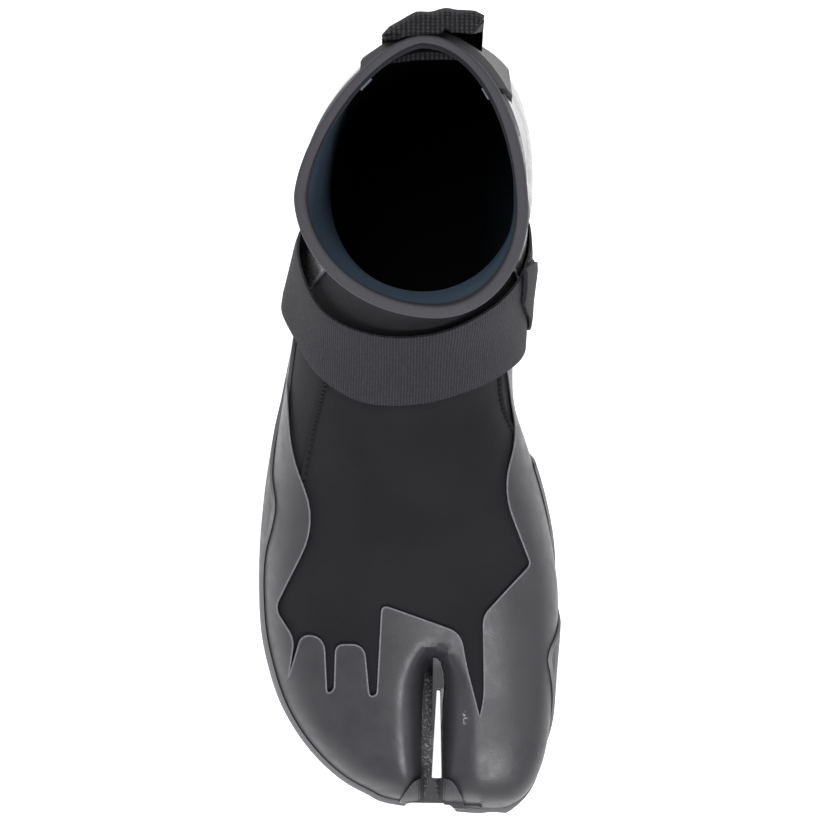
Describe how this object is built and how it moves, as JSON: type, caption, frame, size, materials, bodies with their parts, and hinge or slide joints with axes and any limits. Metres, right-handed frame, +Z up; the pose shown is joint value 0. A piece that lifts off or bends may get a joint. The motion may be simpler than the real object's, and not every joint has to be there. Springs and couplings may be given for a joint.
{
  "type": "split-toe surf bootie",
  "caption": "Low surf bootie for the right foot: split toe, claw-edged rubber panels, cupped sole, instep strap, open collar and a pull loop at the heel.",
  "frame": {"origin": "on the floor under the middle of the heel seat", "axes": "+Z up, the toes point to -Y, +X points to the big toe's side"},
  "size_m": [0.1094, 0.2779, 0.152],
  "materials": {
    "neoprene": "matte",
    "lining": "matte",
    "sole_rubber": "satin",
    "panel_rubber": "satin",
    "heel_rubber": "gloss",
    "webbing": "matte"
  },
  "bodies": {
    "root": {"upper": "neoprene", "insole": "lining", "outsole": "sole_rubber", "toe_rand": "panel_rubber", "heel_counter": "heel_rubber", "back_patch": "heel_rubber", "strap": "webbing", "strap_tab": "webbing", "pull_loop": "webbing"}
  },
  "joints": []
}
